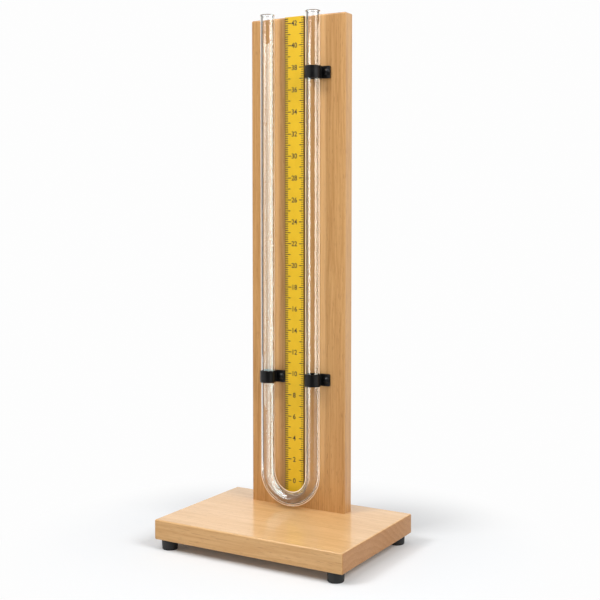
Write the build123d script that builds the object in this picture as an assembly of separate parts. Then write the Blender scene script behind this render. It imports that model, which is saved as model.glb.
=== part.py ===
from build123d import *
import os
from math import atan2, cos, degrees, radians, sin, sqrt

# Bench U tube manometer. A footed base carries an upright board, and a glass U tube is
# clipped to the board's face with a graduated strip between its two limbs.
# The origin lies on the bench below the middle of the base, with +X to the right,
# +Y to the back and +Z up. Lengths are in millimetres and angles in degrees.

# Base
BASE_WIDTH = 190.0
BASE_DEPTH = 133.0
BASE_THICKNESS = 18.0
BASE_ROUND = 1.5

# Upright board, which stands on the base
BOARD_WIDTH = 99.0
BOARD_THICKNESS = 13.5
BOARD_HEIGHT = 450.0
BOARD_CENTRE_X = -6.0
BOARD_FACE_Y = 33.5
BOARD_ROUND = 1.5

# Glass tube: its limbs rise past the board's top, and its bend hangs clear of the base
TUBE_DIAMETER = 13.0
TUBE_WALL = 1.5
TUBE_CENTRE_X = -9.5
LIMB_SPACING = 47.6
MOUTH_ABOVE_BOARD = 2.4
BEND_ABOVE_BASE = 2.1

# The mouth of each limb curves outwards and ends in a fire-polished round edge
FLARE_RADIUS = 4.0
FLARE_ANGLE = 25.0

# Graduated strip on the board's face, flush with its top
STRIP_WIDTH = 19.6
STRIP_THICKNESS = 0.8
STRIP_OFFSET_X = 0.7
STRIP_ABOVE_BASE = 13.8
STRIP_CORNER = 0.5

# Tube clips, each a strap folded round a limb with both ends under one screw
STRAP_THICKNESS = 0.8
STRAP_HEIGHT = 11.0
STRAP_SLIT = 0.1
STRAP_CORNER = 1.0
NECK_BEND = 1.0
EAR_REACH = 14.4
EAR_SCREW_OFFSET = 11.1
LOWER_CLIP_ABOVE_BASE = 121.0
UPPER_CLIP_BELOW_TOP = 52.0
TUBE_CLEARANCE = 0.1

# Screws
CLIP_SCREW_DIAMETER = 3.0
CLIP_SCREW_LENGTH = 10.0
CLIP_SCREW_HEAD = 6.0
CLIP_SCREW_HEAD_HEIGHT = 2.0
FOOT_SCREW_DIAMETER = 3.5
FOOT_SCREW_LENGTH = 14.0
FOOT_SCREW_HEAD = 6.6
FOOT_SCREW_HEAD_HEIGHT = 2.3
BOARD_SCREW_DIAMETER = 4.0
BOARD_SCREW_LENGTH = 45.0
BOARD_SCREW_HEAD = 8.0
BOARD_SCREW_INSET = 16.5
HEAD_RIM = 0.7
POINT_LENGTH = 3.0
SOCKET_SHARE = 0.45
SOCKET_DEPTH = 1.2
SCREW_CLEARANCE = 0.05
TIP_SPACE = 0.5

# Feet, each a tapered rubber button with a washer under its screw's head
FOOT_DIAMETER = 14.8
FOOT_TIP_DIAMETER = 13.8
FOOT_HEIGHT = 9.0
FOOT_ROUND = 1.0
FOOT_INSET_X = 10.7
FOOT_INSET_Y = 8.8
FOOT_WELL_DIAMETER = 8.6
FOOT_WELL_DEPTH = 4.6
WASHER_THICKNESS = 0.8
WASHER_CLEARANCE = 0.1

# Places that follow from the sizes above
BASE_TOP = FOOT_HEIGHT + BASE_THICKNESS
BOARD_TOP = BASE_TOP + BOARD_HEIGHT
BOARD_CENTRE_Y = BOARD_FACE_Y + BOARD_THICKNESS / 2
TUBE_RADIUS = TUBE_DIAMETER / 2
BORE_RADIUS = TUBE_RADIUS - TUBE_WALL
LOOP_INSIDE = TUBE_RADIUS + TUBE_CLEARANCE
LOOP_OUTSIDE = LOOP_INSIDE + STRAP_THICKNESS
TUBE_AXIS_Y = BOARD_FACE_Y - LOOP_OUTSIDE
LEFT_LIMB_X = TUBE_CENTRE_X - LIMB_SPACING / 2
RIGHT_LIMB_X = TUBE_CENTRE_X + LIMB_SPACING / 2
BEND_CENTRE_Z = BASE_TOP + BEND_ABOVE_BASE + TUBE_RADIUS + LIMB_SPACING / 2
MOUTH_Z = BOARD_TOP + MOUTH_ABOVE_BOARD
EAR_THICKNESS = 2 * STRAP_THICKNESS + STRAP_SLIT
LOWER_CLIP_Z = BASE_TOP + LOWER_CLIP_ABOVE_BASE
UPPER_CLIP_Z = BOARD_TOP - UPPER_CLIP_BELOW_TOP
FOOT_X = BASE_WIDTH / 2 - FOOT_INSET_X
FOOT_Y = BASE_DEPTH / 2 - FOOT_INSET_Y
FOOT_SEAT_Z = FOOT_WELL_DEPTH - WASHER_THICKNESS

CLIP_PLACES = {
    "lower_left": (LEFT_LIMB_X, LOWER_CLIP_Z),
    "lower_right": (RIGHT_LIMB_X, LOWER_CLIP_Z),
    "upper_right": (RIGHT_LIMB_X, UPPER_CLIP_Z),
}
FOOT_PLACES = {
    "front_left": (-FOOT_X, -FOOT_Y),
    "front_right": (FOOT_X, -FOOT_Y),
    "back_left": (-FOOT_X, FOOT_Y),
    "back_right": (FOOT_X, FOOT_Y),
}
BOARD_SCREW_PLACES = {
    "left": BOARD_CENTRE_X - BOARD_WIDTH / 2 + BOARD_SCREW_INSET,
    "middle": BOARD_CENTRE_X,
    "right": BOARD_CENTRE_X + BOARD_WIDTH / 2 - BOARD_SCREW_INSET,
}

FROM_BOTTOM = (Align.CENTER, Align.CENTER, Align.MIN)


def upright_cylinder(radius, height):
    """A cylinder that stands on the origin."""
    return Cylinder(radius, height, align=FROM_BOTTOM)


def turned(points):
    """The solid turned about the Z axis from a closed outline of (radius, height) points."""
    outline = make_face(Polyline([(r, 0, z) for r, z in points], close=True))
    return revolve(outline, Axis.Z)


def hexagon_socket(head_diameter, top):
    """The six-sided driver socket, sunk into a head whose top is at height top."""
    outline = RegularPolygon(head_diameter * SOCKET_SHARE / 2, 6)
    return Pos(0, 0, top - SOCKET_DEPTH) * extrude(outline, 2 * SOCKET_DEPTH)


def screw_shank(diameter, length):
    """A plain shank with a sharp point, hanging down from the origin."""
    radius = diameter / 2
    return turned([(0, 0), (radius, 0), (radius, POINT_LENGTH - length), (0, -length)])


def dome_head_screw(diameter, length, head_diameter, head_height):
    """A wood screw with a domed head, its underside on the XY plane and its head upwards."""
    radius = head_diameter / 2
    dome_rise = head_height - HEAD_RIM
    dome_radius = (radius ** 2 + dome_rise ** 2) / (2 * dome_rise)
    head = upright_cylinder(radius, head_height) & Pos(0, 0, head_height - dome_radius) * Sphere(dome_radius)
    return head - hexagon_socket(head_diameter, head_height) + screw_shank(diameter, length)


def countersunk_screw(diameter, length, head_diameter):
    """A wood screw with a flat cone head whose top is on the XY plane, pointing down."""
    head_depth = (head_diameter - diameter) / 2
    cone = turned([(0, 0), (head_diameter / 2, 0), (diameter / 2, -head_depth), (0, -head_depth)])
    return cone - hexagon_socket(head_diameter, 0) + screw_shank(diameter, length)


def countersink(diameter, length, head_diameter):
    """The hole that a countersunk screw lies in, a little larger all round."""
    hole = diameter / 2 + SCREW_CLEARANCE
    mouth = head_diameter / 2 + SCREW_CLEARANCE
    depth = mouth - hole
    return turned([(0, 0), (mouth, 0), (hole, -depth), (hole, -length), (0, -length)])


def base_board():
    """The flat base with rounded edges, bored for the board's screws and the feet's."""
    board = Pos(0, 0, FOOT_HEIGHT) * Box(BASE_WIDTH, BASE_DEPTH, BASE_THICKNESS, align=FROM_BOTTOM)
    board = fillet(board.edges(), BASE_ROUND)
    through = BASE_THICKNESS + TIP_SPACE
    bore = Rot(180, 0, 0) * countersink(BOARD_SCREW_DIAMETER, through, BOARD_SCREW_HEAD)
    for x in BOARD_SCREW_PLACES.values():
        board -= Pos(x, BOARD_CENTRE_Y, FOOT_HEIGHT) * bore
    reach = FOOT_SEAT_Z + FOOT_SCREW_LENGTH - FOOT_HEIGHT
    pilot = upright_cylinder(FOOT_SCREW_DIAMETER / 2 + SCREW_CLEARANCE, reach + TIP_SPACE)
    for x, y in FOOT_PLACES.values():
        board -= Pos(x, y, FOOT_HEIGHT) * pilot
    return board


def back_board():
    """The upright board, rounded on its long edges and top, with its pilot holes."""
    board = Box(BOARD_WIDTH, BOARD_THICKNESS, BOARD_HEIGHT, align=FROM_BOTTOM)
    board = Pos(BOARD_CENTRE_X, BOARD_CENTRE_Y, BASE_TOP) * board
    foot_edges = board.faces().sort_by(Axis.Z)[0].edges()
    board = fillet(board.edges() - foot_edges, BOARD_ROUND)
    reach = BOARD_SCREW_LENGTH - BASE_THICKNESS + TIP_SPACE
    end_pilot = upright_cylinder(BOARD_SCREW_DIAMETER / 2 + SCREW_CLEARANCE, reach)
    for x in BOARD_SCREW_PLACES.values():
        board -= Pos(x, BOARD_CENTRE_Y, BASE_TOP) * end_pilot
    depth = CLIP_SCREW_LENGTH - EAR_THICKNESS + TIP_SPACE
    face_pilot = upright_cylinder(CLIP_SCREW_DIAMETER / 2 + SCREW_CLEARANCE, depth)
    for limb_x, z in CLIP_PLACES.values():
        board -= Pos(limb_x + EAR_SCREW_OFFSET, BOARD_FACE_Y, z) * Rot(-90, 0, 0) * face_pilot
    return board


def limb():
    """One straight limb of the tube, standing on the bend, with its flared mouth."""
    half_wall = TUBE_WALL / 2
    mid_radius = TUBE_RADIUS - half_wall
    straight = MOUTH_Z - BEND_CENTRE_Z - FLARE_RADIUS * sin(radians(FLARE_ANGLE)) - half_wall
    flare_start = 180 - FLARE_ANGLE
    flare_x = mid_radius + FLARE_RADIUS
    edge_x = flare_x + FLARE_RADIUS * cos(radians(flare_start))
    edge_z = straight + FLARE_RADIUS * sin(radians(flare_start))
    outline = Plane.XZ * (Curve() + [
        Line((TUBE_RADIUS, 0), (TUBE_RADIUS, straight)),
        CenterArc((flare_x, straight), FLARE_RADIUS - half_wall, 180, -FLARE_ANGLE),
        CenterArc((edge_x, edge_z), half_wall, flare_start, -180).reversed(),
        CenterArc((flare_x, straight), FLARE_RADIUS + half_wall, flare_start, FLARE_ANGLE),
        Line((BORE_RADIUS, straight), (BORE_RADIUS, 0)),
        Line((BORE_RADIUS, 0), (TUBE_RADIUS, 0)),
    ])
    return revolve(make_face(outline), Axis.Z)


def u_tube():
    """The one-piece glass tube: two limbs joined by a half-round bend."""
    ring = Circle(TUBE_RADIUS) - Circle(BORE_RADIUS)
    ring = Pos(RIGHT_LIMB_X, TUBE_AXIS_Y, BEND_CENTRE_Z) * ring
    bend_axis = Axis((TUBE_CENTRE_X, TUBE_AXIS_Y, BEND_CENTRE_Z), (0, 1, 0))
    tube = revolve(ring, bend_axis, revolution_arc=180)
    for x in (LEFT_LIMB_X, RIGHT_LIMB_X):
        tube += Pos(x, TUBE_AXIS_Y, BEND_CENTRE_Z) * limb()
    return tube


def scale_strip():
    """The graduated strip, fixed flat on the board between the limbs."""
    height = BOARD_HEIGHT - STRIP_ABOVE_BASE
    plate = Box(STRIP_WIDTH, STRIP_THICKNESS, height, align=(Align.CENTER, Align.MAX, Align.MIN))
    plate = fillet(plate.edges().filter_by(Axis.Y), STRIP_CORNER)
    return Pos(TUBE_CENTRE_X + STRIP_OFFSET_X, BOARD_FACE_Y, BASE_TOP + STRIP_ABOVE_BASE) * plate


def strap_outline():
    """The clip's folded strap seen from above, round the limb at the origin."""
    half = STRAP_THICKNESS / 2
    loop_middle = LOOP_INSIDE + half
    front_layer_y = loop_middle - STRAP_THICKNESS - STRAP_SLIT
    neck_y = front_layer_y - NECK_BEND
    neck_x = sqrt((loop_middle + NECK_BEND) ** 2 - neck_y ** 2)
    neck_angle = degrees(atan2(neck_y, neck_x))
    neck_turn = 90 + neck_angle
    return Curve() + [
        Line((EAR_REACH, LOOP_OUTSIDE), (0, LOOP_OUTSIDE)),
        CenterArc((0, 0), LOOP_OUTSIDE, 90, 270 + neck_angle),
        CenterArc((neck_x, neck_y), NECK_BEND - half, 180 + neck_angle, -neck_turn),
        Line((neck_x, front_layer_y - half), (EAR_REACH, front_layer_y - half)),
        Line((EAR_REACH, front_layer_y - half), (EAR_REACH, front_layer_y + half)),
        Line((EAR_REACH, front_layer_y + half), (neck_x, front_layer_y + half)),
        CenterArc((neck_x, neck_y), NECK_BEND + half, 90, neck_turn),
        CenterArc((0, 0), LOOP_INSIDE, 360 + neck_angle, -270 - neck_angle),
        Line((0, LOOP_INSIDE), (EAR_REACH, LOOP_INSIDE)),
        Line((EAR_REACH, LOOP_INSIDE), (EAR_REACH, LOOP_OUTSIDE)),
    ]


def tube_clip(limb_x, z):
    """One clip round the limb at limb_x, centred on height z, with its ear to the right."""
    strap = extrude(make_face(strap_outline()), STRAP_HEIGHT / 2, both=True)
    ends = strap.edges().filter_by(Axis.Y).group_by(Axis.X)[-1]
    strap = fillet(ends, STRAP_CORNER)
    hole = Rot(90, 0, 0) * Cylinder(CLIP_SCREW_DIAMETER / 2 + SCREW_CLEARANCE, 4 * LOOP_OUTSIDE)
    strap -= Pos(EAR_SCREW_OFFSET, 0, 0) * hole
    return Pos(limb_x, TUBE_AXIS_Y, z) * strap


def clip_screw(limb_x, z):
    """The screw that closes a clip's ear on the board."""
    screw = dome_head_screw(
        CLIP_SCREW_DIAMETER, CLIP_SCREW_LENGTH, CLIP_SCREW_HEAD, CLIP_SCREW_HEAD_HEIGHT
    )
    return Pos(limb_x + EAR_SCREW_OFFSET, BOARD_FACE_Y - EAR_THICKNESS, z) * Rot(90, 0, 0) * screw


def rubber_foot(x, y):
    """One tapered foot, with a well underneath and a hole for its screw."""
    foot = turned([
        (0, 0),
        (FOOT_TIP_DIAMETER / 2, 0),
        (FOOT_DIAMETER / 2, FOOT_HEIGHT),
        (0, FOOT_HEIGHT),
    ])
    foot = fillet(foot.edges().sort_by(Axis.Z)[0], FOOT_ROUND)
    foot -= upright_cylinder(FOOT_WELL_DIAMETER / 2, FOOT_WELL_DEPTH)
    foot -= upright_cylinder(FOOT_SCREW_DIAMETER / 2 + SCREW_CLEARANCE, FOOT_HEIGHT)
    return Pos(x, y, 0) * foot


def foot_washer(x, y):
    """The steel washer at the top of a foot's well."""
    washer = upright_cylinder(FOOT_WELL_DIAMETER / 2 - WASHER_CLEARANCE, WASHER_THICKNESS)
    washer -= upright_cylinder(FOOT_SCREW_DIAMETER / 2 + SCREW_CLEARANCE, WASHER_THICKNESS)
    return Pos(x, y, FOOT_SEAT_Z) * washer


def foot_screw(x, y):
    """The screw that holds a foot up against the base."""
    screw = dome_head_screw(
        FOOT_SCREW_DIAMETER, FOOT_SCREW_LENGTH, FOOT_SCREW_HEAD, FOOT_SCREW_HEAD_HEIGHT
    )
    return Pos(x, y, FOOT_SEAT_Z) * Rot(180, 0, 0) * screw


def board_screw(x):
    """One long screw, up through the base into the end of the board."""
    screw = countersunk_screw(BOARD_SCREW_DIAMETER, BOARD_SCREW_LENGTH, BOARD_SCREW_HEAD)
    return Pos(x, BOARD_CENTRE_Y, FOOT_HEIGHT) * Rot(180, 0, 0) * screw


def manometer():
    """Every piece of the manometer by name."""
    pieces = {
        "base_board": base_board(),
        "back_board": back_board(),
        "u_tube": u_tube(),
        "scale_strip": scale_strip(),
    }
    for name, place in CLIP_PLACES.items():
        pieces["tube_clip_" + name] = tube_clip(*place)
        pieces["clip_screw_" + name] = clip_screw(*place)
    for name, place in FOOT_PLACES.items():
        pieces["rubber_foot_" + name] = rubber_foot(*place)
        pieces["foot_washer_" + name] = foot_washer(*place)
        pieces["foot_screw_" + name] = foot_screw(*place)
    for name, x in BOARD_SCREW_PLACES.items():
        pieces["board_screw_" + name] = board_screw(x)
    return pieces


os.makedirs("parts", exist_ok=True)
for piece_name, piece in manometer().items():
    export_step(piece, "parts/" + piece_name + ".step")
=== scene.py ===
from math import cos, pi, radians, sin

import bmesh
import bpy
from mathutils import Matrix, Vector


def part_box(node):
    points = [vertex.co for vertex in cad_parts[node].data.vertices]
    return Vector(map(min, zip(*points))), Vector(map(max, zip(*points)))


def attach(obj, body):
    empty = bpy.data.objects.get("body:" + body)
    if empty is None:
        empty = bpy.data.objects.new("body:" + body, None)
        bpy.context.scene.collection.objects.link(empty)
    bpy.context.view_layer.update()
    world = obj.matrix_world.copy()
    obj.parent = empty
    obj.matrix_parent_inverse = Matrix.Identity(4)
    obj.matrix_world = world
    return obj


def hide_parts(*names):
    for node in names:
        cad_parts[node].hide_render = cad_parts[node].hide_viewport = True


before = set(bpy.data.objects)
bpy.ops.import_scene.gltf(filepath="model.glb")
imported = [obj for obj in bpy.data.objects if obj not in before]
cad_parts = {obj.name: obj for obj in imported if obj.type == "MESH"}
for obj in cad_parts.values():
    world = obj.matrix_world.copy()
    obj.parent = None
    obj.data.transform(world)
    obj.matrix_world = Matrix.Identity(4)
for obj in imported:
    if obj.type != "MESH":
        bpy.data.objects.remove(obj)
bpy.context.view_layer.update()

# The looks of a bench U tube manometer: varnished boards, a clear glass tube, a printed
# yellow strip, black clips and rubber feet. Everything is in metres, with +Z up.

MM = 0.001

# Camera, at the photograph's angle
CAMERA_PLACE = Vector((499.5, -822.3, 304.6)) * MM
CAMERA_TURN = radians(30.43)
CAMERA_PITCH = radians(3.31)
CAMERA_LENS = 65.14
CAMERA_SENSOR = 36.0
CAMERA_SHIFT_Y = -0.05

# Glass tube, with the same sizes as the solid that it stands for
TUBE_RADIUS = 6.5 * MM
TUBE_WALL = 1.5 * MM
FLARE_RADIUS = 4.0 * MM
FLARE_ANGLE = radians(25)
GLASS_SEGMENTS = 96
BEND_STEPS = 72
MOUTH_STEPS = 8
LIP_STEPS = 10

# Graduations: a line every 2 mm, a longer one at 10 mm, and a number every 20 mm
DIVISION = 2 * MM
DIVISIONS_PER_HALF = 5
DIVISIONS_PER_NUMBER = 10
ZERO_ABOVE_STRIP_END = 10.4 * MM
LOWEST_DIVISION = -4
LEFT_TICKS = (3.2 * MM, 5.6 * MM, 6.4 * MM)
RIGHT_TICKS = (2.4 * MM, 4.2 * MM, 4.6 * MM)
LEFT_TICK_WIDTH = 0.95 * MM
RIGHT_TICK_WIDTH = 0.6 * MM
LONG_TICK_WIDTH = 0.8 * MM
INK_DEPTH = 0.03 * MM
EDGE_MARGIN = 0.1 * MM
DIGIT_SIZE = 6.4 * MM
DIGIT_WIDTH_SHARE = 0.92
DIGIT_WEIGHT = 0.018
CM_PER_NUMBER = 2

# Varnished wood
VARNISH_ROUGHNESS = 0.36
VARNISH_ROUGHNESS_SPREAD = 0.1
VARNISH_SPECULAR = 0.3
COAT_ROUGHNESS = 0.14
RING_SCALE = 52.0
GRAIN_STRENGTH = 0.2
GRAIN_DEPTH = 0.05 * MM
GRIT_STRENGTH = 0.35

# Light that the glass gathers on the board, and the shade on both sides of the strip.
# Distances are from a limb's axis or from the strip's edge, as (start, end) pairs.
GATHERED_START = (3 * MM, 5 * MM)
GATHERED_REACHES = (8 * MM, 9 * MM)
GATHERED_SOFT_END = 2 * MM
GATHERED_HEIGHTS = (0.04, 0.08)
GATHERED_AMOUNT = 0.36
NEAR_SHADE = (-7 * MM, -3 * MM)
NEAR_SHADE_AMOUNT = 0.18
CLOSE_SHADE = (-2 * MM, -1 * MM)
CLOSE_SHADE_AMOUNT = 0.14
RIGHT_SHADE = (0.55 * MM, 1.1 * MM)
SHADE_SOFT_END = 2 * MM

# Glass. The (start, end) pairs are how far the surface faces away, or heights in metres.
GLASS_ROUGHNESS = 0.035
GLASS_IOR = 1.47
# CLEAR is the glass's own tint, and SHADED the colour of its painted dark lines.
CLEAR = (0.99, 0.99, 0.99, 1)
SHADED = (0.02, 0.02, 0.022, 1)
MOUTH_DEPTHS = (1.2 * MM, 0.5 * MM)
MOUTH_SHADE = 0.7
FLANK_RISE = (0.26, 0.36)
FLANK_FALL = (0.46, 0.56)
FLANK_SHADE_LEFT = 0.92
FLANK_SHADE_RIGHT = 0.06
FLANK_HEIGHTS = (0.06, 0.14)
# The rims are painted white highlights, with a painted glow near the bend.
RIM_RISE = (0.58, 0.68)
RIM_AMOUNT = 0.8
RIM_GLOW = 0.45
RIM_GLOW_HEIGHTS = (0.05, 0.08)
BARE_RIM_PLACES = (-30 * MM, -26 * MM)
BARE_RIM_HEIGHTS = (0.08, 0.13)
BARE_RIM_AMOUNT = 0.75
BEND_CLEAR_RISE = (0.25, 0.4)
BEND_CLEAR_HEIGHTS = (0.045, 0.07)
BEND_CLEAR_AMOUNT = 0.85
BEND_SHADOW = (0.42, 0.36, 0.26, 1)
BEND_SHADOW_HEIGHTS = (0.032, 0.055)
BEND_SHADOW_AMOUNT = 0.4

# Studio: lamp powers are in watts, and a highlight's glow is times a white background
WHITE = 0.985
AMBIENT = 0.38
STUDIO_MIDDLE = Vector((0, 0.02, 0.25))
COOL = (0.8, 1.0, 1.0)
WARM = (1.0, 0.93, 0.8)
DARK_FRONT_TURN = radians(28)
DARK_FRONT_EDGE = (0.8, 0.9)
FLOOR_RADIUS = 8
FLOOR_TONE = (0.76, 0.775, 0.79, 1)
FLOOR_LIFT = 0.03
FLOOR_FADE = (0.12, 0.26)
BLACK_CARD_DISTANCE = 0.5
BLACK_CARD_MIDDLE = 0.35
BLACK_CARD_HALF_HEIGHT = 0.25


def tone(red, green, blue):
    """A linear colour from the familiar 0 to 255 values."""
    def channel(value):
        share = value / 255
        if share <= 0.04045:
            return share / 12.92
        return ((share + 0.055) / 1.055) ** 2.4
    return (channel(red), channel(green), channel(blue), 1.0)


def add_node(tree, kind, **settings):
    """A new node with its settings."""
    node = tree.nodes.new(kind)
    for name, value in settings.items():
        setattr(node, name, value)
    return node


def feed(tree, socket, value):
    """Links an output to a socket, or sets a plain value on it."""
    if isinstance(value, bpy.types.NodeSocket):
        tree.links.new(value, socket)
    else:
        socket.default_value = value


def calc(tree, operation, *values):
    """The result of a Math node."""
    node = add_node(tree, "ShaderNodeMath", operation=operation)
    for socket, value in zip(node.inputs, values):
        feed(tree, socket, value)
    return node.outputs[0]


def soft_step(tree, value, low, high, start=0.0, end=1.0):
    """A smooth rise from start to end while value goes from low to high."""
    node = add_node(tree, "ShaderNodeMapRange", interpolation_type="SMOOTHSTEP")
    feed(tree, node.inputs["Value"], value)
    node.inputs["From Min"].default_value = low
    node.inputs["From Max"].default_value = high
    node.inputs["To Min"].default_value = start
    node.inputs["To Max"].default_value = end
    return node.outputs["Result"]


def blend_colour(tree, amount, first, second, mode="MIX"):
    """One colour laid over another by amount."""
    node = add_node(tree, "ShaderNodeMix", data_type="RGBA", blend_type=mode)
    feed(tree, node.inputs["Factor"], amount)
    feed(tree, node.inputs["A"], first)
    feed(tree, node.inputs["B"], second)
    return node.outputs["Result"]


def product(tree, first, *others):
    """Several values multiplied."""
    for value in others:
        first = calc(tree, "MULTIPLY", first, value)
    return first


def opposite(tree, mask):
    """1 where a mask is 0, and 0 where it is 1."""
    return calc(tree, "SUBTRACT", 1.0, mask)


def parts(tree, source):
    """The X, Y and Z of a surface's place on its object (Object) or of its direction (Normal)."""
    node = add_node(tree, "ShaderNodeSeparateXYZ")
    feed(tree, node.inputs[0], add_node(tree, "ShaderNodeTexCoord").outputs[source])
    return node.outputs


def simple_shader(tree, kind, **values):
    """The output of a shader node, its inputs set by name."""
    node = add_node(tree, kind)
    for label, value in values.items():
        feed(tree, node.inputs[label], value)
    return node.outputs[0]


def mix_shaders(tree, amount, first, second):
    """A shader turned into a second one by amount."""
    node = add_node(tree, "ShaderNodeMixShader")
    for socket, value in zip(node.inputs, (amount, first, second)):
        feed(tree, socket, value)
    return node.outputs[0]


def add_shaders(tree, first, second):
    """The sum of two shaders."""
    node = add_node(tree, "ShaderNodeAddShader")
    for socket, value in zip(node.inputs, (first, second)):
        feed(tree, socket, value)
    return node.outputs[0]


def stretched(tree, vector, scale):
    """A vector scaled on each axis."""
    node = add_node(tree, "ShaderNodeVectorMath", operation="MULTIPLY")
    feed(tree, node.inputs[0], vector)
    node.inputs[1].default_value = scale
    return node.outputs[0]


def noise(tree, vector, scale=1.0, detail=2.0, roughness=0.5):
    """The value of a noise texture."""
    node = add_node(tree, "ShaderNodeTexNoise")
    feed(tree, node.inputs["Vector"], vector)
    feed(tree, node.inputs["Scale"], scale)
    node.inputs["Detail"].default_value = detail
    node.inputs["Roughness"].default_value = roughness
    return node.outputs["Fac"]


def new_group(name, inputs, outputs):
    """An empty shader node group with named sockets, given as name to type."""
    group = bpy.data.node_groups.new(name, "ShaderNodeTree")
    for label, kind in inputs.items():
        group.interface.new_socket(name=label, in_out="INPUT", socket_type=kind)
    for label, kind in outputs.items():
        group.interface.new_socket(name=label, in_out="OUTPUT", socket_type=kind)
    return group, add_node(group, "NodeGroupInput"), add_node(group, "NodeGroupOutput")


def use_group(tree, group, **values):
    """A group placed in a material, its inputs set by name with _ for a space."""
    node = add_node(tree, "ShaderNodeGroup", node_tree=group)
    for label, value in values.items():
        feed(tree, node.inputs[label.replace("_", " ")], value)
    return node


def wood_figure_group():
    """Growth rings, fibres and flecks of straight-grained wood whose grain runs along Z."""
    group, given, made = new_group(
        "wood_figure",
        {
            "Vector": "NodeSocketVector",
            "Early Wood": "NodeSocketColor",
            "Late Wood": "NodeSocketColor",
            "Fleck": "NodeSocketColor",
            "End Grain": "NodeSocketFloat",
            "Ring Scale": "NodeSocketFloat",
        },
        {
            "Color": "NodeSocketColor",
            "Height": "NodeSocketFloat",
            "Sheen": "NodeSocketFloat",
        },
    )
    place = given.outputs["Vector"]
    sway = noise(group, stretched(group, place, (16, 16, 2.6)), detail=3.0)
    sway = product(group, calc(group, "SUBTRACT", sway, 0.5), 0.022)
    shift = add_node(group, "ShaderNodeCombineXYZ")
    feed(group, shift.inputs["X"], sway)
    feed(group, shift.inputs["Y"], sway)
    swayed = add_node(group, "ShaderNodeVectorMath", operation="ADD")
    feed(group, swayed.inputs[0], place)
    feed(group, swayed.inputs[1], shift.outputs[0])

    rings = add_node(
        group, "ShaderNodeTexWave", wave_type="RINGS", rings_direction="Z", wave_profile="SAW"
    )
    feed(group, rings.inputs["Vector"], swayed.outputs[0])
    feed(group, rings.inputs["Scale"], given.outputs["Ring Scale"])
    rings.inputs["Distortion"].default_value = 0.6
    rings.inputs["Detail"].default_value = 2.0
    ring = soft_step(group, rings.outputs["Fac"], 0.15, 1.0)
    ring_share = calc(group, "MULTIPLY_ADD", given.outputs["End Grain"], 0.24, 0.13)

    along_grain = stretched(group, swayed.outputs[0], (700, 700, 9))
    fibre = noise(group, along_grain, detail=4.0, roughness=0.62)
    thread = noise(group, stretched(group, place, (2600, 2600, 60)), detail=2.0)
    drift = noise(group, stretched(group, place, (22, 22, 2.0)), detail=2.0)
    speck = noise(group, stretched(group, place, (1500, 1500, 130)), detail=1.0)
    fleck = soft_step(group, speck, 0.62, 0.72)

    shade = product(group, ring, ring_share)
    shade = calc(group, "ADD", shade, soft_step(group, fibre, 0.32, 0.72, 0.02, 0.56))
    shade = calc(group, "ADD", shade, soft_step(group, drift, 0.3, 0.7, -0.08, 0.16))
    shade = calc(group, "ADD", shade, soft_step(group, thread, 0.3, 0.7, -0.07, 0.1))
    colour = blend_colour(group, shade, given.outputs["Early Wood"], given.outputs["Late Wood"])
    colour = blend_colour(group, product(group, fleck, 0.35), colour, given.outputs["Fleck"])
    darker = blend_colour(group, 1.0, colour, (0.66, 0.54, 0.44, 1.0), mode="MULTIPLY")
    colour = blend_colour(group, given.outputs["End Grain"], colour, darker)

    height = calc(group, "ADD", product(group, fibre, 0.6), product(group, fleck, -0.5))
    feed(group, made.inputs["Color"], colour)
    feed(group, made.inputs["Height"], height)
    feed(group, made.inputs["Sheen"], soft_step(group, drift, 0.3, 0.7, 0.0, 1.0))
    return group


def grit_group():
    """Fine unevenness of a moulded, coated or printed surface, with faint rubbed patches."""
    group, given, made = new_group(
        "fine_grit",
        {"Vector": "NodeSocketVector", "Grain": "NodeSocketFloat", "Patch": "NodeSocketFloat"},
        {"Height": "NodeSocketFloat", "Rubbed": "NodeSocketFloat"},
    )
    place = given.outputs["Vector"]
    grain = noise(group, place, given.outputs["Grain"], detail=3.0, roughness=0.6)
    patch = noise(group, place, given.outputs["Patch"], detail=4.0, roughness=0.65)
    feed(group, made.inputs["Height"], grain)
    feed(group, made.inputs["Rubbed"], soft_step(group, patch, 0.42, 0.68))
    return group


def empty_tree(owner, output):
    """The node tree of a material or world with only its output node, and that node's input."""
    owner.use_nodes = True
    tree = owner.node_tree
    tree.nodes.clear()
    return tree, add_node(tree, output).inputs["Surface"]


def new_material(name):
    """A material with its tree, its Principled shader and the input of its output."""
    material = bpy.data.materials.new(name)
    tree, surface = empty_tree(material, "ShaderNodeOutputMaterial")
    shader = add_node(tree, "ShaderNodeBsdfPrincipled")
    feed(tree, surface, shader.outputs[0])
    return material, tree, shader, surface


def bump(tree, shader, height, strength, distance):
    """Raises the surface by height."""
    node = add_node(tree, "ShaderNodeBump")
    node.inputs["Strength"].default_value = strength
    node.inputs["Distance"].default_value = distance
    feed(tree, node.inputs["Height"], height)
    feed(tree, shader.inputs["Normal"], node.outputs[0])


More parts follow.
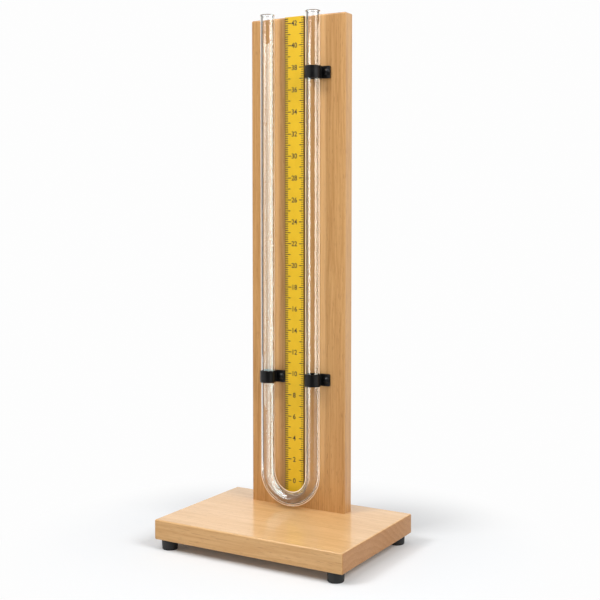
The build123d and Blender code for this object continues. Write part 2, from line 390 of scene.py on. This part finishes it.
def varnished_wood(name, figure, grain_turn, pith, end_axis, early, late, coats):
    """Clear-varnished pale wood, with the coats of its front, flanks and top.

    grain_turn brings the grain onto Z, pith moves the board away from the heart of the tree,
    and end_axis is the direction of its end grain.
    """
    material, tree, shader, _ = new_material(name)
    coordinates = add_node(tree, "ShaderNodeTexCoord")
    mapping = add_node(tree, "ShaderNodeMapping")
    feed(tree, mapping.inputs["Vector"], coordinates.outputs["Object"])
    mapping.inputs["Rotation"].default_value = grain_turn
    mapping.inputs["Location"].default_value = pith
    along = add_node(tree, "ShaderNodeVectorMath", operation="DOT_PRODUCT")
    feed(tree, along.inputs[0], coordinates.outputs["Normal"])
    along.inputs[1].default_value = end_axis
    end = soft_step(tree, calc(tree, "ABSOLUTE", along.outputs["Value"]), 0.6, 0.9)
    facing = parts(tree, "Normal")
    front_coat, flank_coat, top_coat = coats
    coat = calc(
        tree, "MAXIMUM",
        soft_step(tree, calc(tree, "ABSOLUTE", facing["X"]), 0.1, 0.5, front_coat, flank_coat),
        soft_step(tree, facing["Z"], 0.3, 0.9, 0.0, top_coat),
    )
    wood = use_group(
        tree, figure,
        Vector=mapping.outputs[0],
        Early_Wood=early,
        Late_Wood=late,
        Fleck=tone(132, 84, 40),
        End_Grain=end,
        Ring_Scale=RING_SCALE,
    )
    feed(tree, shader.inputs["Base Color"], wood.outputs["Color"])
    spread = product(tree, wood.outputs["Sheen"], VARNISH_ROUGHNESS_SPREAD)
    feed(tree, shader.inputs["Roughness"], calc(tree, "ADD", VARNISH_ROUGHNESS, spread))
    shader.inputs["Specular IOR Level"].default_value = VARNISH_SPECULAR
    feed(tree, shader.inputs["Coat Weight"], coat)
    shader.inputs["Coat Roughness"].default_value = COAT_ROUGHNESS
    bump(tree, shader, wood.outputs["Height"], GRAIN_STRENGTH, GRAIN_DEPTH)
    return material


def painted_dark_lines(tree, facing, outside, mouth, place, side):
    """Where dark is painted into the glass's colour: along a limb's flanks, more on the left, as a
    painted reflection of a dark room, and round its mouths.
    """
    flank = product(
        tree,
        soft_step(tree, facing, *FLANK_RISE),
        soft_step(tree, facing, *FLANK_FALL, 1.0, 0.0),
        soft_step(tree, side["X"], -0.6, -0.1, FLANK_SHADE_LEFT, FLANK_SHADE_RIGHT),
        soft_step(tree, place["Z"], *FLANK_HEIGHTS),
    )
    return product(tree, calc(tree, "MAXIMUM", flank, product(tree, mouth, MOUTH_SHADE)), outside)


def painted_white_rims(tree, facing, outside, mouth, place, side):
    """Where the far edges of the glass are painted white as highlights: less beside the strip, and
    not at the mouths.
    """
    bare = product(
        tree,
        soft_step(tree, place["X"], *BARE_RIM_PLACES, 1.0, 0.0),
        soft_step(tree, side["X"], 0.1, 0.5),
        soft_step(tree, place["Z"], *BARE_RIM_HEIGHTS, 0.0, BARE_RIM_AMOUNT),
    )
    rise = soft_step(tree, facing, *RIM_RISE, 0.0, RIM_AMOUNT)
    return product(tree, rise, outside, opposite(tree, mouth), opposite(tree, bare))


def clear_glass():
    """Clear drawn glass: painted bright rims as highlights, a painted darker left flank as a dark
    reflection, painted dark mouths, and a faint shadow.
    """
    material, tree, shader, surface = new_material("clear_glass_tube")
    shader.inputs["Roughness"].default_value = GLASS_ROUGHNESS
    shader.inputs["IOR"].default_value = GLASS_IOR
    shader.inputs["Transmission Weight"].default_value = 1.0
    facing = add_node(tree, "ShaderNodeLayerWeight").outputs["Facing"]
    outside = opposite(tree, add_node(tree, "ShaderNodeNewGeometry").outputs["Backfacing"])
    place, side = parts(tree, "Object"), parts(tree, "Normal")
    mouth_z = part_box("u_tube")[1].z
    mouth = soft_step(tree, place["Z"], *(mouth_z - depth for depth in MOUTH_DEPTHS))
    # Painted reflection: dark lines on the flanks, and painted dark round the mouths.
    dark = painted_dark_lines(tree, facing, outside, mouth, place, side)
    feed(tree, shader.inputs["Base Color"], blend_colour(tree, dark, CLEAR, SHADED))

    # Painted highlight: the rims are drawn as a white diffuse surface that glows near the bend.
    rim_tone = tone(250, 240, 226)
    glow = soft_step(tree, place["Z"], *RIM_GLOW_HEIGHTS, RIM_GLOW, 0.0)
    rim = add_shaders(
        tree,
        simple_shader(tree, "ShaderNodeBsdfDiffuse", Color=rim_tone),
        simple_shader(tree, "ShaderNodeEmission", Color=rim_tone, Strength=glow),
    )
    edge = painted_white_rims(tree, facing, outside, mouth, place, side)
    rimmed = mix_shaders(tree, edge, shader.outputs[0], rim)

    unbent = product(
        tree,
        soft_step(tree, facing, *BEND_CLEAR_RISE),
        opposite(tree, edge),
        soft_step(tree, place["Z"], *BEND_CLEAR_HEIGHTS, BEND_CLEAR_AMOUNT, 0.0),
    )
    plain = simple_shader(tree, "ShaderNodeBsdfTransparent", Color=(0.97, 0.97, 0.97, 1))
    seen = mix_shaders(tree, unbent, rimmed, plain)

    shadow = blend_colour(
        tree, soft_step(tree, facing, 0.3, 0.5), (1.02, 1.01, 1.0, 1), (0.78, 0.77, 0.76, 1)
    )
    bend = soft_step(tree, place["Z"], *BEND_SHADOW_HEIGHTS, BEND_SHADOW_AMOUNT, 0.0)
    tint = blend_colour(tree, bend, shadow, BEND_SHADOW)
    passing = simple_shader(tree, "ShaderNodeBsdfTransparent", Color=tint)
    path = add_node(tree, "ShaderNodeLightPath").outputs
    passed = calc(tree, "MAXIMUM", path["Is Shadow Ray"], path["Is Diffuse Ray"])
    mirrored = product(tree, path["Is Glossy Ray"], outside, 0.9)
    amount = calc(tree, "MAXIMUM", passed, mirrored)
    feed(tree, surface, mix_shaders(tree, amount, seen, passing))
    return material


def gritty(
    name, colour, rubbed_colour, roughness, rubbed_roughness, grit, grain, patch, raised, **sockets
):
    """A material with a fine grit, whose rubbed patches differ a little in colour and gloss."""
    material, tree, shader, _ = new_material(name)
    coordinates = add_node(tree, "ShaderNodeTexCoord")
    surface = use_group(tree, grit, Vector=coordinates.outputs["Object"], Grain=grain, Patch=patch)
    rubbed = surface.outputs["Rubbed"]
    feed(tree, shader.inputs["Base Color"], blend_colour(tree, rubbed, colour, rubbed_colour))
    spread = product(tree, rubbed, rubbed_roughness - roughness)
    feed(tree, shader.inputs["Roughness"], calc(tree, "ADD", spread, roughness))
    for label, value in sockets.items():
        shader.inputs[label.replace("_", " ")].default_value = value
    bump(tree, shader, surface.outputs["Height"], GRIT_STRENGTH, raised)
    return material


def tint_over(material, amount, colour):
    """Lays a colour over a material's own by amount."""
    tree = material.node_tree
    shader = next(node for node in tree.nodes if node.type == "BSDF_PRINCIPLED")
    under = shader.inputs["Base Color"].links[0].from_socket
    feed(tree, shader.inputs["Base Color"], blend_colour(tree, amount, under, colour))


def paint_shade_on_sides(material):
    """Paints shade on a board's sides, which are darker than its top because the light falls from
    above.
    """
    tree = material.node_tree
    amount = soft_step(tree, parts(tree, "Normal")["Z"], 0.2, 0.8, 0.24, 0.0)
    tint_over(material, amount, tone(150, 95, 45))


def on_front(tree):
    """1 on a board's front face and 0 on its sides and back."""
    return soft_step(tree, parts(tree, "Normal")["Y"], -0.9, -0.5, 1.0, 0.0)


def gathered_light(material):
    """Brightens the board in a band right of each limb, where the glass gathers the key light."""
    tree = material.node_tree
    place = parts(tree, "Object")
    low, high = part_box("u_tube")
    bands = []
    for axis_x, reach in zip((low.x + TUBE_RADIUS, high.x - TUBE_RADIUS), GATHERED_REACHES):
        start, full = (axis_x + distance for distance in GATHERED_START)
        end = axis_x + reach
        rise = soft_step(tree, place["X"], start, full)
        fall = soft_step(
            tree, place["X"], end - GATHERED_SOFT_END, end + GATHERED_SOFT_END, 1.0, 0.0
        )
        bands.append(product(tree, rise, fall))
    above_bend = soft_step(tree, place["Z"], *GATHERED_HEIGHTS, 0.0, GATHERED_AMOUNT)
    band = product(tree, calc(tree, "ADD", *bands), above_bend, on_front(tree))
    tint_over(material, band, tone(248, 200, 142))


def shade_beside_strip(material):
    """Darkens the board's face along both sides of the strip, where little light reaches."""
    tree = material.node_tree
    place = parts(tree, "Object")
    low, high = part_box("scale_strip")

    def from_edge(edge, distances, start, end):
        return soft_step(tree, place["X"], *(edge + away for away in distances), start, end)

    near = from_edge(low.x, NEAR_SHADE, 0.0, NEAR_SHADE_AMOUNT)
    close = from_edge(low.x, CLOSE_SHADE, 0.0, CLOSE_SHADE_AMOUNT)
    on_left = calc(tree, "ADD", near, close)
    on_right = from_edge(high.x, RIGHT_SHADE, 1.0, 0.0)
    is_right = calc(tree, "GREATER_THAN", place["X"], (low.x + high.x) / 2)
    shade = calc(
        tree, "ADD",
        product(tree, on_left, opposite(tree, is_right)),
        product(tree, on_right, is_right),
    )
    above_end = soft_step(tree, place["Z"], low.z, low.z + SHADE_SOFT_END)
    tint_over(material, product(tree, shade, above_end, on_front(tree)), tone(52, 30, 5))


def paint_shade_on_strip_edges(material):
    """Paints shade on the strip's cut edges and along the rounded left margin of its face, as the
    shadow that lines its edges.
    """
    tree = material.node_tree
    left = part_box("scale_strip")[0].x
    cut = soft_step(tree, calc(tree, "ABSOLUTE", parts(tree, "Normal")["X"]), 0.5, 0.8)
    across = parts(tree, "Object")["X"]
    margin = soft_step(tree, across, left + 0.4 * MM, left + 1.2 * MM, 0.45, 0.0)
    tint_over(material, calc(tree, "MAXIMUM", cut, margin), tone(48, 30, 5))


def make_materials():
    """Every finish of the manometer by name."""
    figure = wood_figure_group()
    grit = grit_group()
    strip = gritty(
        "yellow_print", tone(230, 187, 34), tone(226, 182, 30), 0.45, 0.52, grit, 900, 90,
        0.02 * MM, Specular_IOR_Level=0.3,
    )
    # Painted shade along the strip's edges.
    paint_shade_on_strip_edges(strip)
    board = varnished_wood(
        "varnished_upright", figure,
        grain_turn=(0, 0, 0), pith=(-0.012, -0.115, 0.31), end_axis=(0, 0, 1),
        early=tone(208, 160, 102), late=tone(171, 119, 61), coats=(0.1, 0.6, 0.5),
    )
    shade_beside_strip(board)
    gathered_light(board)
    base = varnished_wood(
        "varnished_base", figure,
        grain_turn=(0, radians(90), 0), pith=(0.085, 0.05, 0.07), end_axis=(1, 0, 0),
        early=tone(228, 186, 132), late=tone(198, 150, 91), coats=(0.0, 0.1, 0.7),
    )
    # Painted shade: the base's sides are darker than its top.
    paint_shade_on_sides(base)
    return {
        "board": board,
        "base": base,
        "glass": clear_glass(),
        "strip": strip,
        "ink": gritty(
            "dark_ink", tone(34, 25, 10), tone(44, 32, 13), 0.5, 0.6, grit, 1500, 200,
            0.01 * MM,
        ),
        "clip": gritty(
            "satin_black_coat", tone(16, 16, 17), tone(21, 21, 22), 0.3, 0.4, grit, 1800, 160,
            0.03 * MM, Specular_IOR_Level=0.26,
        ),
        "screw": gritty(
            "blackened_steel", tone(44, 44, 46), tone(56, 56, 56), 0.28, 0.38, grit, 1200, 260,
            0.01 * MM, Metallic=0.8,
        ),
        "rubber": gritty(
            "black_rubber", tone(20, 20, 20), tone(28, 28, 27), 0.6, 0.7, grit, 1400, 120,
            0.05 * MM,
        ),
        "zinc": gritty(
            "zinc_plate", tone(196, 194, 188), tone(170, 168, 160), 0.32, 0.45, grit, 700, 180,
            0.01 * MM, Metallic=1.0,
        ),
    }


def new_object(name, data):
    """A new object in the scene for a finished mesh, text, lamp or camera."""
    piece = bpy.data.objects.new(name, data)
    bpy.context.scene.collection.objects.link(piece)
    return piece


def built_object(name, model, material):
    """A new object in the scene from a mesh that is still being worked on."""
    mesh = bpy.data.meshes.new(name)
    model.to_mesh(mesh)
    model.free()
    mesh.materials.append(material)
    return new_object(name, mesh)


def evaluated_mesh(piece):
    """The plain mesh that an object's text or modifiers make."""
    bpy.context.view_layer.update()
    evaluated = piece.evaluated_get(bpy.context.evaluated_depsgraph_get())
    return bpy.data.meshes.new_from_object(evaluated)


def mouth_outline(straight_top):
    """(radius, height) down the outside to the inside of a limb's flared, fire-polished mouth."""
    half_wall = TUBE_WALL / 2
    turn_x = TUBE_RADIUS - half_wall + FLARE_RADIUS
    edge_x = turn_x - FLARE_RADIUS * cos(FLARE_ANGLE)
    edge_z = straight_top + FLARE_RADIUS * sin(FLARE_ANGLE)
    points = []
    for step in range(MOUTH_STEPS + 1):
        angle = FLARE_ANGLE * step / MOUTH_STEPS
        reach = FLARE_RADIUS - half_wall
        points.append((turn_x - reach * cos(angle), straight_top + reach * sin(angle)))
    for step in range(1, LIP_STEPS):
        angle = -FLARE_ANGLE + pi * step / LIP_STEPS
        points.append((edge_x + half_wall * cos(angle), edge_z + half_wall * sin(angle)))
    for step in range(MOUTH_STEPS, -1, -1):
        angle = FLARE_ANGLE * step / MOUTH_STEPS
        reach = FLARE_RADIUS + half_wall
        points.append((turn_x - reach * cos(angle), straight_top + reach * sin(angle)))
    return points


def glass_tube(material):
    """The U tube as one closed glass wall, with a smooth bend and rounded mouths."""
    low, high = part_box("u_tube")
    middle_x = (low.x + high.x) / 2
    axis_y = (low.y + high.y) / 2
    flare = (high.y - low.y) / 2 - TUBE_RADIUS
    bend_radius = (high.x - low.x) / 2 - TUBE_RADIUS - flare
    bend_z = low.z + TUBE_RADIUS + bend_radius
    straight_top = high.z - TUBE_WALL / 2 - FLARE_RADIUS * sin(FLARE_ANGLE)
    mouth = mouth_outline(straight_top)

    rings = []

    def limb_ring(side, radius, height):
        centre = Vector((middle_x + side * bend_radius, axis_y, height))
        rings.append((centre, Vector((side, 0, 0)), radius))

    def bend_rings(radius, steps):
        for step in steps:
            angle = pi * step / BEND_STEPS
            outward = Vector((-cos(angle), 0, -sin(angle)))
            centre = Vector((middle_x, axis_y, bend_z)) + bend_radius * outward
            rings.append((centre, outward, radius))

    for radius, height in reversed(mouth):
        limb_ring(-1, radius, height)
    bend_rings(TUBE_RADIUS, range(BEND_STEPS + 1))
    for radius, height in mouth:
        limb_ring(1, radius, height)
    bend_rings(TUBE_RADIUS - TUBE_WALL, range(BEND_STEPS, -1, -1))

    model = bmesh.new()
    loops = []
    for centre, outward, radius in rings:
        loop = []
        for segment in range(GLASS_SEGMENTS):
            angle = 2 * pi * segment / GLASS_SEGMENTS
            spoke = outward * cos(angle) + Vector((0, 1, 0)) * sin(angle)
            loop.append(model.verts.new(centre + radius * spoke))
        loops.append(loop)
    for index, loop in enumerate(loops):
        following = loops[(index + 1) % len(loops)]
        for segment in range(GLASS_SEGMENTS):
            beside = (segment + 1) % GLASS_SEGMENTS
            model.faces.new((loop[segment], loop[beside], following[beside], following[segment]))
    bmesh.ops.recalc_face_normals(model, faces=model.faces)
    for face in model.faces:
        face.smooth = True
    return built_object("glass_tube", model, material)


def falls_on(tree, number, step):
    """True where a whole number is a multiple of step."""
    node = add_node(tree, "FunctionNodeCompare", data_type="INT", operation="EQUAL")
    whole = [socket for socket in node.inputs if socket.type == "INT"]
    feed(tree, whole[0], calc(tree, "FLOORED_MODULO", number, float(step)))
    return node.outputs[0]


def choose(tree, condition, otherwise, chosen):
    """One of two numbers."""
    node = add_node(tree, "GeometryNodeSwitch", input_type="FLOAT")
    feed(tree, node.inputs["Switch"], condition)
    feed(tree, node.inputs["False"], otherwise)
    feed(tree, node.inputs["True"], chosen)
    return node.outputs[0]


def graduation_tree():
    """A Geometry Nodes tree that rules one edge of the strip with lines of three lengths."""
    tree = bpy.data.node_groups.new("graduations", "GeometryNodeTree")
    sockets = {
        "Count": "NodeSocketInt", "First": "NodeSocketInt", "Division": "NodeSocketFloat",
        "Zero": "NodeSocketVector", "Direction": "NodeSocketFloat",
        "Single": "NodeSocketFloat", "Half": "NodeSocketFloat", "Numbered": "NodeSocketFloat",
        "Thin": "NodeSocketFloat", "Thick": "NodeSocketFloat", "Depth": "NodeSocketFloat",
        "Ink": "NodeSocketMaterial",
    }
    tree.interface.new_socket(name="Geometry", in_out="OUTPUT", socket_type="NodeSocketGeometry")
    for label, kind in sockets.items():
        tree.interface.new_socket(name=label, in_out="INPUT", socket_type=kind)
    given = add_node(tree, "NodeGroupInput")
    made = add_node(tree, "NodeGroupOutput")
    value = given.outputs

    number = calc(tree, "ADD", add_node(tree, "GeometryNodeInputIndex").outputs[0], value["First"])
    length = value["Single"]
    for step, label in ((DIVISIONS_PER_HALF, "Half"), (DIVISIONS_PER_NUMBER, "Numbered")):
        length = choose(tree, falls_on(tree, number, step), length, value[label])
    width = choose(tree, falls_on(tree, number, DIVISIONS_PER_HALF), value["Thin"], value["Thick"])

    line = add_node(tree, "GeometryNodeMeshLine", mode="OFFSET")
    feed(tree, line.inputs["Count"], value["Count"])
    place = add_node(tree, "GeometryNodeSetPosition")
    tree.links.new(line.outputs[0], place.inputs["Geometry"])
    across = product(tree, length, 0.5, value["Direction"])
    offset = add_node(tree, "ShaderNodeCombineXYZ")
    feed(tree, offset.inputs["X"], across)
    feed(tree, offset.inputs["Z"], product(tree, number, value["Division"]))
    spot = add_node(tree, "ShaderNodeVectorMath", operation="ADD")
    feed(tree, spot.inputs[0], value["Zero"])
    feed(tree, spot.inputs[1], offset.outputs[0])
    feed(tree, place.inputs["Position"], spot.outputs[0])

    bar = add_node(tree, "GeometryNodeMeshCube")
    size = add_node(tree, "ShaderNodeCombineXYZ")
    feed(tree, size.inputs["X"], length)
    feed(tree, size.inputs["Y"], value["Depth"])
    feed(tree, size.inputs["Z"], width)
    copies = add_node(tree, "GeometryNodeInstanceOnPoints")
    tree.links.new(place.outputs[0], copies.inputs["Points"])
    tree.links.new(bar.outputs["Mesh"], copies.inputs["Instance"])
    feed(tree, copies.inputs["Scale"], size.outputs[0])
    real = add_node(tree, "GeometryNodeRealizeInstances")
    tree.links.new(copies.outputs[0], real.inputs[0])
    painted = add_node(tree, "GeometryNodeSetMaterial")
    tree.links.new(real.outputs[0], painted.inputs["Geometry"])
    feed(tree, painted.inputs["Material"], value["Ink"])
    tree.links.new(painted.outputs[0], made.inputs[0])
    return tree


def run_tree(name, tree, settings):
    """The plain mesh that a Geometry Nodes tree makes from its named settings."""
    carrier = new_object(name + "_carrier", bpy.data.meshes.new(name + "_empty"))
    modifier = carrier.modifiers.new("tree", "NODES")
    modifier.node_group = tree
    for item in tree.interface.items_tree:
        if item.in_out == "INPUT" and item.name in settings:
            modifier[item.identifier] = settings[item.name]
    mesh = evaluated_mesh(carrier)
    mesh.name = name
    carrier.modifiers.remove(modifier)
    bpy.data.objects.remove(carrier)
    return mesh


def strip_zero():
    """The middle of the zero line on the strip's face."""
    low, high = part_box("scale_strip")
    return Vector(((low.x + high.x) / 2, low.y - INK_DEPTH / 2, low.z + ZERO_ABOVE_STRIP_END))


def division_count():
    """How many divisions fit between the lowest one and the strip's top."""
    low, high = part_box("scale_strip")
    above_zero = int((high.z - EDGE_MARGIN - low.z - ZERO_ABOVE_STRIP_END) / DIVISION)
    return above_zero - LOWEST_DIVISION + 1


def graduations(tree, side, lengths, ink):
    """The lines along one edge of the strip: side is -1 for the left edge and 1 for the right."""
    low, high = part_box("scale_strip")
    edge = (high.x - low.x) / 2 - EDGE_MARGIN
    name = "left_graduations" if side < 0 else "right_graduations"
    single, half, numbered = lengths
    mesh = run_tree(name, tree, {
        "Count": division_count(),
        "First": LOWEST_DIVISION,
        "Division": DIVISION,
        "Zero": strip_zero() + Vector((side * edge, 0, 0)),
        "Direction": float(-side),
        "Single": single,
        "Half": half,
        "Numbered": numbered,
        "Thin": LEFT_TICK_WIDTH if side < 0 else RIGHT_TICK_WIDTH,
        "Thick": LONG_TICK_WIDTH,
        "Depth": INK_DEPTH,
        "Ink": ink,
    })
    return new_object(name, mesh)


def printed_number(text):
    """The mesh of one number, upright and facing the front, centred on the origin."""
    curve = bpy.data.curves.new("number", "FONT")
    curve.body = text
    curve.size = DIGIT_SIZE
    curve.align_x = "CENTER"
    curve.align_y = "CENTER"
    curve.extrude = INK_DEPTH / 2
    curve.offset = DIGIT_WEIGHT * DIGIT_SIZE
    curve.resolution_u = 6
    writer = new_object("number", curve)
    mesh = evaluated_mesh(writer)
    bpy.data.objects.remove(writer)
    heights = [vertex.co.y for vertex in mesh.vertices]
    mesh.transform(Matrix.Translation((0, -(min(heights) + max(heights)) / 2, 0)))
    mesh.transform(Matrix.Diagonal((DIGIT_WIDTH_SHARE, 1, 1, 1)))
    mesh.transform(Matrix.Rotation(radians(90), 4, "X"))
    return mesh


def numbers(ink):
    """The numbers down the middle of the strip, in centimetres."""
    step = DIVISION * DIVISIONS_PER_NUMBER
    count = (division_count() + LOWEST_DIVISION - 1) // DIVISIONS_PER_NUMBER + 1
    model = bmesh.new()
    for index in range(count):
        mesh = printed_number(str(index * CM_PER_NUMBER))
        mesh.transform(Matrix.Translation(strip_zero() + Vector((0, 0, index * step))))
        model.from_mesh(mesh)
        bpy.data.meshes.remove(mesh)
    bmesh.ops.remove_doubles(model, verts=model.verts, dist=0.001 * MM)
    return built_object("printed_numbers", model, ink)


def paint(material, *nodes):
    """Gives a finish to CAD nodes, named by how their names start."""
    for name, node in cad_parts.items():
        if name.startswith(nodes):
            node.data.materials.clear()
            node.data.materials.append(material)


def camera():
    """The camera at the photograph's place and angle."""
    data = bpy.data.cameras.new("camera")
    data.lens = CAMERA_LENS
    data.sensor_width = CAMERA_SENSOR
    data.shift_y = CAMERA_SHIFT_Y
    data.clip_start = 0.02
    data.clip_end = 50
    holder = new_object("camera", data)
    holder.location = CAMERA_PLACE
    holder.rotation_euler = (radians(90) - CAMERA_PITCH, 0, CAMERA_TURN)
    bpy.context.scene.camera = holder


def place_at(centre, azimuth, elevation, distance):
    """A point seen from centre at angles in degrees: 0 is the front, and right is positive."""
    turn, rise = radians(azimuth), radians(elevation)
    offset = Vector((sin(turn) * cos(rise), -cos(turn) * cos(rise), sin(rise)))
    return Vector(centre) + distance * offset


def softbox(name, place, aim, width, height, power):
    """A soft rectangular lamp at place, facing aim."""
    data = bpy.data.lights.new(name, "AREA")
    data.shape = "RECTANGLE"
    data.size = width
    data.size_y = height
    data.energy = power
    lamp = new_object(name, data)
    lamp.location = place
    lamp.rotation_euler = (Vector(aim) - Vector(place)).to_track_quat("-Z", "Y").to_euler()
    return lamp


def studio_lights():
    """A key from the upper left, a fill from the upper right and a lamp overhead."""
    for name, azimuth, elevation, distance, size, power in (
        ("key", -33, 44, 1.6, 0.5, 12.6),
        ("fill", 75, 35, 1.5, 0.7, 14),
        ("overhead", -20, 80, 1.4, 0.8, 5.5),
    ):
        place = place_at(STUDIO_MIDDLE, azimuth, elevation, distance)
        softbox(name, place, STUDIO_MIDDLE, size, size, power)


def highlight(name, place, facing, width, bottom, top, glow, colour, receivers):
    """One upright lamp card at an (x, y) place, facing an azimuth, seen only by its receivers."""
    centre = Vector((place[0], place[1], (bottom + top) / 2))
    card = softbox(name, centre, place_at(centre, facing, 0, 1), width, top - bottom, glow)
    only_reflected(card, colour, receivers)


def only_reflected(card, colour, receivers):
    """Sets a lamp's power from its glow, and shows it only as a reflection in its receivers."""
    card.data.color = colour
    card.data.energy *= pi * card.data.size * card.data.size_y
    card.visible_camera = False
    card.visible_diffuse = False
    card.visible_transmission = False
    card.light_linking.receiver_collection = receivers


def glass_highlights(tube):
    """Lamps that show only as long highlights in the glass, as strip softboxes do in a studio."""
    receivers = bpy.data.collections.new("highlight_receivers")
    receivers.objects.link(tube)
    low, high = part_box("u_tube")
    axis_y = (low.y + high.y) / 2
    left = (low.x + TUBE_RADIUS, axis_y, 0)
    right = (high.x - TUBE_RADIUS, axis_y, 0)
    # A name, a limb, the azimuth and distance from it, a width, bottom, top, glow and colour
    round_a_limb = (
        ("left_card", left, -15, 0.30, 0.16, 0.065, 0.50, 9, COOL),
        ("front_card", left, 25, 0.054, 0.034, 0.041, 0.458, 7, COOL),
        ("near_card", left, 50, 0.022, 0.009, 0.05, 0.455, 11, COOL),
        ("gap_card", left, 94, 0.022, 0.016, 0.05, 0.49, 14, COOL),
        ("right_card", right, 80, 0.60, 0.34, 0.03, 0.62, 12, WARM),
    )
    for name, axis, azimuth, distance, width, bottom, top, glow, colour in round_a_limb:
        place = place_at(axis, azimuth, 0, distance)
        highlight(name, place, azimuth + 180, width, bottom, top, glow, colour, receivers)

    strip_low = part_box("scale_strip")[0]
    beside = (strip_low.x + 0.6 * MM, strip_low.y - 1.7 * MM)
    highlight(
        "slit_card", beside, facing=300, width=0.0034, bottom=0.05, top=0.47, glow=6,
        colour=WARM, receivers=receivers,
    )

    bend = Vector(((left[0] + right[0]) / 2, axis_y, 0.04))
    above = place_at(bend, azimuth=31, elevation=84, distance=0.9)
    top_card = softbox("top_card", above, bend, width=0.35, height=0.25, power=6)
    only_reflected(top_card, COOL, receivers)

    face_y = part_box("back_board")[0].y - 0.3 * MM
    on_the_board = (("board_card", 0.036, 0.016, 7.5), ("board_edge_card", 0.0245, 0.008, 2.4))
    for name, x, width, glow in on_the_board:
        highlight(name, (x, face_y), 0, width, 0.03, 0.47, glow, WARM, receivers)


def seen_directly(tree):
    """1 for rays that show the background itself: straight, in a reflection or through glass."""
    path = add_node(tree, "ShaderNodeLightPath").outputs
    seen = calc(tree, "MAXIMUM", path["Is Camera Ray"], path["Is Glossy Ray"])
    return calc(tree, "MAXIMUM", seen, path["Is Transmission Ray"])


def dark_front(tree, direction):
    """0 for reflections that look to the front, where a studio is dark behind its camera."""
    along = add_node(tree, "ShaderNodeVectorMath", operation="NORMALIZE")
    feed(tree, along.inputs[0], direction)
    front = add_node(tree, "ShaderNodeVectorMath", operation="DOT_PRODUCT")
    feed(tree, front.inputs[0], along.outputs[0])
    front.inputs[1].default_value = (sin(DARK_FRONT_TURN), -cos(DARK_FRONT_TURN), 0)
    ahead = soft_step(tree, front.outputs["Value"], *DARK_FRONT_EDGE)
    glossy = add_node(tree, "ShaderNodeLightPath").outputs["Is Glossy Ray"]
    return opposite(tree, product(tree, ahead, glossy))


def studio_world():
    """A white surround that lights the object softly."""
    world = bpy.data.worlds.new("studio")
    bpy.context.scene.world = world
    tree, surface = empty_tree(world, "ShaderNodeOutputWorld")
    strength = calc(tree, "MULTIPLY_ADD", seen_directly(tree), WHITE - AMBIENT, AMBIENT)
    room = dark_front(tree, add_node(tree, "ShaderNodeTexCoord").outputs["Generated"])
    strength = product(tree, strength, room)
    white = (1, 1, 1, 1)
    feed(tree, surface, simple_shader(tree, "ShaderNodeBackground", Color=white, Strength=strength))


def dark_cards():
    """Black cards that show only through the glass, where they draw the dark lines of its edges."""
    material = bpy.data.materials.new("black_card")
    tree, surface = empty_tree(material, "ShaderNodeOutputMaterial")
    through_glass = add_node(tree, "ShaderNodeLightPath").outputs["Is Transmission Ray"]
    clear = simple_shader(tree, "ShaderNodeBsdfTransparent")
    black = simple_shader(tree, "ShaderNodeEmission", Strength=0.0)
    feed(tree, surface, mix_shaders(tree, through_glass, clear, black))
    low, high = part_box("u_tube")
    middle = ((low.x + high.x) / 2, (low.y + high.y) / 2, BLACK_CARD_MIDDLE)
    rise = Vector((0, 0, BLACK_CARD_HALF_HEIGHT))
    for name, azimuth, width in (("left_black_card", -99, 0.15), ("back_black_card", 157, 0.16)):
        turn = radians(azimuth)
        centre = place_at(middle, azimuth, 0, BLACK_CARD_DISTANCE)
        across = Vector((cos(turn), sin(turn), 0)) * width / 2
        bottom, top = centre - rise, centre + rise
        corners = [bottom - across, bottom + across, top + across, top - across]
        mesh = bpy.data.meshes.new(name)
        mesh.from_pydata(corners, [], [(0, 1, 2, 3)])
        mesh.materials.append(material)
        new_object(name, mesh)


def studio_floor():
    """A white floor that keeps the object's shadow and meets the surround without a line."""
    bpy.ops.mesh.primitive_circle_add(
        vertices=96, radius=FLOOR_RADIUS, fill_type="NGON", location=(0, 0, 0)
    )
    floor = bpy.context.object
    floor.name = "floor"
    material = bpy.data.materials.new("floor")
    tree, surface = empty_tree(material, "ShaderNodeOutputMaterial")
    place = add_node(tree, "ShaderNodeTexCoord").outputs["Object"]
    distance = add_node(tree, "ShaderNodeVectorMath", operation="LENGTH")
    feed(tree, distance.inputs[0], place)
    seen = seen_directly(tree)
    far = product(tree, soft_step(tree, distance.outputs["Value"], *FLOOR_FADE), seen)
    near_floor = add_shaders(
        tree,
        simple_shader(tree, "ShaderNodeBsdfDiffuse", Color=FLOOR_TONE),
        simple_shader(tree, "ShaderNodeEmission", Strength=product(tree, seen, FLOOR_LIFT)),
    )
    white = product(tree, dark_front(tree, place), WHITE)
    far_floor = simple_shader(tree, "ShaderNodeEmission", Color=(1, 1, 1, 1), Strength=white)
    feed(tree, surface, mix_shaders(tree, far, near_floor, far_floor))
    floor.data.materials.append(material)


def dress():
    """Puts the finishes on the solids and adds the pieces that only the looks need."""
    finish = make_materials()
    for name, *nodes in (
        ("base", "base_board"),
        ("board", "back_board"),
        ("strip", "scale_strip"),
        ("clip", "tube_clip"),
        ("screw", "clip_screw"),
        ("rubber", "rubber_foot"),
        ("zinc", "foot_washer", "foot_screw", "board_screw"),
    ):
        paint(finish[name], *nodes)

    tube = glass_tube(finish["glass"])
    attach(tube, "root")
    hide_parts("u_tube")

    glass_highlights(tube)
    dark_cards()

    tree = graduation_tree()
    marks = [
        graduations(tree, -1, LEFT_TICKS, finish["ink"]),
        graduations(tree, 1, RIGHT_TICKS, finish["ink"]),
        numbers(finish["ink"]),
    ]
    for mark in marks:
        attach(mark, "root")


camera()
dress()
studio_lights()
studio_world()
studio_floor()
bpy.context.scene.view_settings.view_transform = "Standard"
